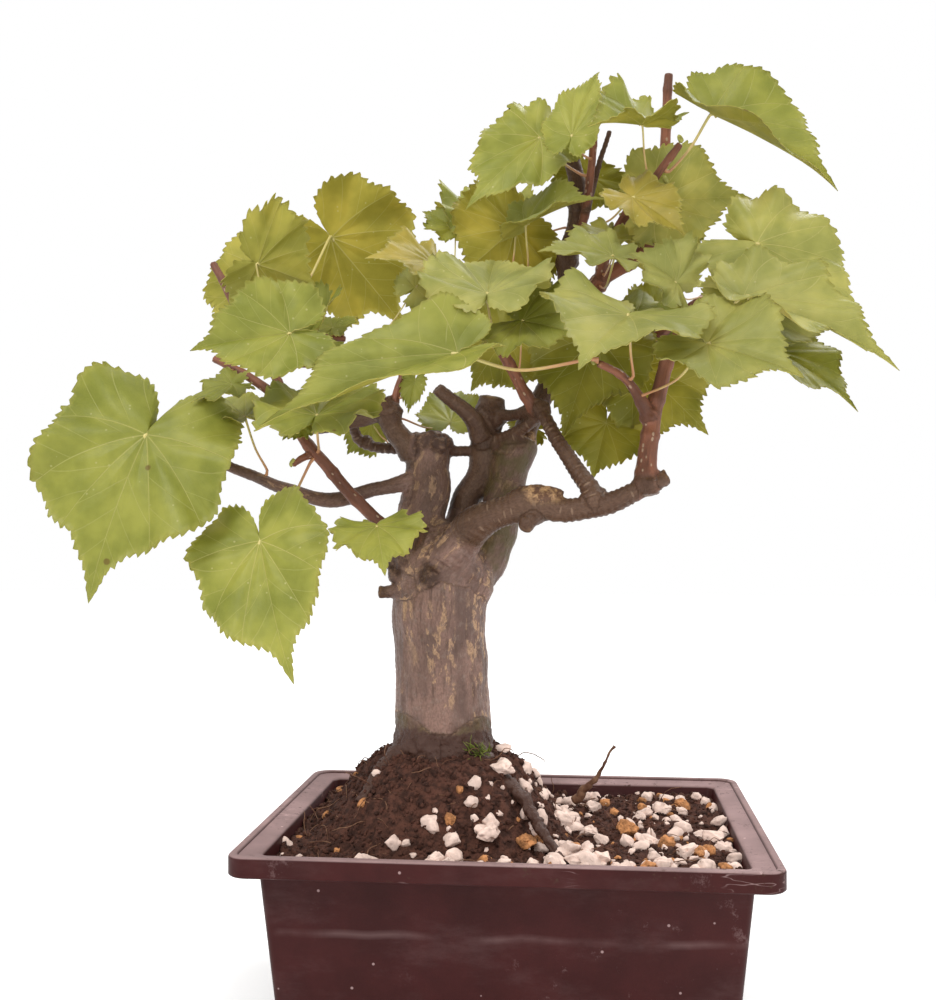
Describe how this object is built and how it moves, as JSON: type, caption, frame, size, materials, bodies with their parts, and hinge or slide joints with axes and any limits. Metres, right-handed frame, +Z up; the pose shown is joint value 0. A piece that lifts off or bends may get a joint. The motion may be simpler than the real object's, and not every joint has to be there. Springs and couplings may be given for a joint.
{
  "type": "bonsai tree in a pot",
  "caption": "Young broadleaf tree grown as a bonsai, with a thick trunk, pruned twiggy crown and heart-shaped leaves, in a rectangular plastic training pot of soil.",
  "frame": {"origin": "middle of the pot's flat underside, on the surface that the pot stands on", "axes": "+Z up; X along the pot's long side, with the lone low leaf at -X and the long front limb towards +X; -Y is the front"},
  "size_m": [0.3851, 0.2046, 0.4643],
  "materials": {
    "pot_plastic": "matte",
    "peat_soil": "matte",
    "pumice": "matte",
    "bark": "matte",
    "leaf_green": "satin",
    "leaf_pale": "satin",
    "leaf_dark": "satin",
    "leaf_yellowing": "satin"
  },
  "bodies": {
    "root": {"leaf_01_far_left": "leaf_pale", "leaf_02_low_hanging": "leaf_pale", "leaf_03_trunk_side": "leaf_green", "leaf_04_speckled": "leaf_pale", "leaf_05_left_back": "leaf_dark", "leaf_06_left_upper": "leaf_green", "leaf_07_broad_back": "leaf_dark", "leaf_08_yellowing": "leaf_yellowing", "leaf_09_pale_small": "leaf_pale", "leaf_10_left_under": "leaf_green", "leaf_11_left_flat": "leaf_green", "leaf_12_long_pale": "leaf_pale", "leaf_13_left_shelf": "leaf_green", "leaf_14_left_tuft": "leaf_green", "leaf_15_ring_side": "leaf_green", "leaf_16_behind_leader": "leaf_green", "leaf_17_crook_small": "leaf_green", "leaf_18_spur_tip": "leaf_green", "leaf_19_spur_folded": "leaf_green", "leaf_20_spur_back": "leaf_green", "leaf_21_shoot_small": "leaf_green", "leaf_22_top_winged": "leaf_green", "leaf_23_crown_shade": "leaf_dark", "leaf_24_crown_curl": "leaf_green", "leaf_25_crown_dark": "leaf_dark", "leaf_26_crown_right": "leaf_green", "leaf_27_crown_yellow": "leaf_yellowing", "leaf_28_right_tip": "leaf_green", "leaf_29_high_right": "leaf_pale", "leaf_30_apex_left": "leaf_green", "leaf_31_apex": "leaf_green", "leaf_32_high_left": "leaf_green", "leaf_33_centre_flat": "leaf_green", "leaf_34_centre_low": "leaf_green", "leaf_35_front": "leaf_pale", "leaf_36_mid_dark": "leaf_dark", "leaf_37_mid_pale": "leaf_pale", "leaf_38_mid_under": "leaf_green", "leaf_39_mid_back": "leaf_green", "leaf_40_right_folded": "leaf_pale", "leaf_41_right_back": "leaf_green", "leaf_42_right_shelf": "leaf_green", "leaf_43_right_long": "leaf_green", "leaf_44_right_front": "leaf_green", "leaf_45_right_drip": "leaf_green", "leaf_46_big_dark": "leaf_dark", "leaf_47_big_dark_right": "leaf_dark", "leaf_48_low_back": "leaf_dark", "leaf_49_right_under": "leaf_green", "leaf_50_centre_back": "leaf_dark", "leaf_51_young": "leaf_green", "leaf_52_crook_back": "leaf_dark", "leaf_53_left_crown": "leaf_green", "pot": "pot_plastic", "pumice_stone_1": "pumice", "pumice_stone_2": "pumice", "pumice_stone_3": "pumice", "pumice_stone_4": "pumice", "soil": "peat_soil", "trunk_and_branches": "bark"}
  },
  "joints": []
}
